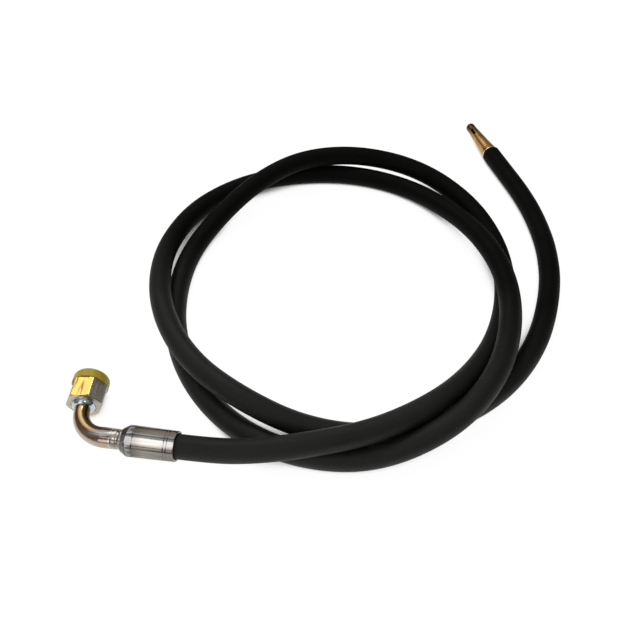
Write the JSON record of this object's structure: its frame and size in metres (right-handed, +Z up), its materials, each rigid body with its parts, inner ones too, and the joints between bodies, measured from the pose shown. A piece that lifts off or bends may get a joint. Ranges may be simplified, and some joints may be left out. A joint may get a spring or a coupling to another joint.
{
  "type": "hose assembly",
  "caption": "Loosely coiled black high-pressure hose with a crimped swept-elbow swivel fitting at one end and a tapered brass nozzle at the other.",
  "frame": {"origin": "Centre of the swivel nut's mouth.", "axes": "+Z is up from the floor that the hose lies on, +Y is the level direction that the nut's mouth faces, with its axis 5.9 degrees below +Y because the fitting rests on its cap, and +X runs towards the coil."},
  "size_m": [0.3991, 0.4071, 0.0371],
  "materials": {
    "cap_plastic": "soft olive-yellow moulded plastic",
    "passivated_steel": "zinc with an iridescent yellow passivate, drawn flats",
    "spring_wire": "drawn spring wire",
    "seal_rubber": "smooth moulded rubber",
    "zinc_steel": "bright zinc plate, semi-gloss",
    "liner_rubber": "smooth extruded rubber",
    "braid_wire": "brass-coated braided wire",
    "cover_rubber": "matte black rubber with faint wrap marks",
    "nozzle_brass": "turned brass, lightly tarnished"
  },
  "bodies": {
    "root": {"retaining_wire": "spring_wire", "seat_o_ring": "seal_rubber", "cone_nipple": "zinc_steel", "elbow_tube": "zinc_steel", "hose_stem": "zinc_steel", "crimp_ferrule": "zinc_steel", "liner_at_ferrule": "liner_rubber", "braid_at_ferrule": "braid_wire", "cover_at_ferrule": "cover_rubber", "hose_lead": "cover_rubber", "hose_coil": "cover_rubber", "hose_tail": "cover_rubber", "liner_at_nozzle": "liner_rubber", "braid_at_nozzle": "braid_wire", "cover_at_nozzle": "cover_rubber", "nozzle_body": "nozzle_brass"},
    "nut": {"swivel_nut": "passivated_steel"},
    "cap": {"thread_cap": "cap_plastic"}
  },
  "joints": [
    {"name": "nut_swivel", "type": "hinge", "parent": "root", "child": "nut", "pos_m": [0, 0, 0], "axis": [0, 0.9947, -0.1028], "continuous": true},
    {"name": "cap_pull", "type": "slide", "parent": "nut", "child": "cap", "axis": [0, 0.9947, -0.1028], "range_m": [0, 0.04]}
  ]
}
